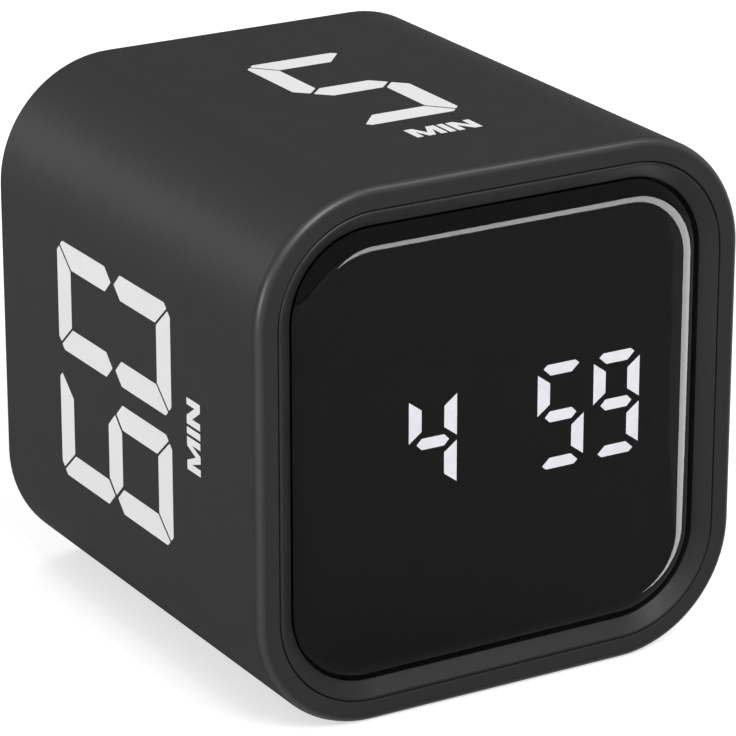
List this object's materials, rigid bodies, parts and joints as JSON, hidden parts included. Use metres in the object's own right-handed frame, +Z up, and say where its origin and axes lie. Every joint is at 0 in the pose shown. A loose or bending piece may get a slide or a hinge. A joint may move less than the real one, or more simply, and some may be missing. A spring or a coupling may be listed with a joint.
{
  "type": "cube timer",
  "caption": "Dark cube countdown timer: a rounded-square sleeve with a smoked lens over a lit segment display, preset numerals on its sides, and rear keys and battery door.",
  "frame": {"origin": "centre of the bottom face, on the surface that the cube stands on", "axes": "+Z up through the top face, -Y out of the display, +X to the right as seen from the front"},
  "size_m": [0.06, 0.06, 0.06],
  "materials": {
    "sleeve_plastic": "fine matte dark grey",
    "bezel_plastic": "satin dark grey",
    "lens_smoke": "polished smoked black",
    "tape_foam": "foam",
    "module_black": "flat black face",
    "segment_lit": "milky, lit white",
    "segment_dark": "milky, unlit",
    "tinned_wire": "tinned",
    "board_green": "solder mask",
    "screw_steel": "zinc plated",
    "screw_black": "black oxide",
    "chip_black": "moulded",
    "socket_cream": "natural",
    "cover_plastic": "fine matte dark grey",
    "cell_wrap": "printed wrap, no marks",
    "contact_nickel": "nickel plated",
    "spring_steel": "nickel plated",
    "ribbon_grey": "flat cable",
    "button_rubber": "silicone, satin",
    "switch_black": "moulded",
    "switch_shell": "plated shell",
    "knob_plastic": "satin black",
    "buzzer_black": "moulded",
    "lead_red": "insulation",
    "lead_black": "insulation"
  },
  "bodies": {
    "housing": {"black_lead": "lead_black", "board_screws": "screw_steel", "body_sleeve": "sleeve_plastic", "bridge_contact": "contact_nickel", "buzzer": "buzzer_black", "buzzer_leads": "lead_black", "colon_dots": "segment_dark", "control_board": "board_green", "control_screws": "screw_steel", "control_socket": "socket_cream", "controller_chip": "chip_black", "cover_screws": "screw_black", "display_lens": "lens_smoke", "display_module": "module_black", "front_bezel": "bezel_plastic", "lens_tape": "tape_foam", "lit_segments": "segment_lit", "lower_cell": "cell_wrap", "lower_spring": "spring_steel", "main_board": "board_green", "main_socket": "socket_cream", "minute_switch": "switch_black", "module_pins": "tinned_wire", "negative_contact": "contact_nickel", "positive_contact": "contact_nickel", "rear_cover": "cover_plastic", "red_lead": "lead_red", "ribbon": "ribbon_grey", "second_switch": "switch_black", "slide_switch": "switch_shell", "start_switch": "switch_black", "tilt_sensor": "chip_black", "unlit_segments": "segment_dark", "upper_cell": "cell_wrap", "upper_spring": "spring_steel"},
    "battery_door": {"battery_door": "cover_plastic"},
    "minute_key": {"minute_button": "button_rubber", "minute_plunger": "switch_black"},
    "second_key": {"second_button": "button_rubber", "second_plunger": "switch_black"},
    "start_key": {"start_button": "button_rubber", "start_plunger": "switch_black"},
    "volume_slider": {"volume_knob": "knob_plastic", "slide_lever": "switch_black"}
  },
  "joints": [
    {"name": "door_swing", "type": "hinge", "parent": "housing", "child": "battery_door", "pos_m": [0, 0.028, 0.03115], "axis": [1, 0, 0], "range_deg": [0, 85]},
    {"name": "minute_press", "type": "slide", "parent": "housing", "child": "minute_key", "axis": [0, -1, 0], "range_m": [0, 0.0005], "stiffness_N_per_m": 800, "springref_m": -0.001},
    {"name": "second_press", "type": "slide", "parent": "housing", "child": "second_key", "axis": [0, -1, 0], "range_m": [0, 0.0005], "stiffness_N_per_m": 800, "springref_m": -0.001},
    {"name": "start_press", "type": "slide", "parent": "housing", "child": "start_key", "axis": [0, -1, 0], "range_m": [0, 0.0005], "stiffness_N_per_m": 800, "springref_m": -0.001},
    {"name": "volume_slide", "type": "slide", "parent": "housing", "child": "volume_slider", "axis": [1, 0, 0], "range_m": [-0.002, 0.002]}
  ]
}
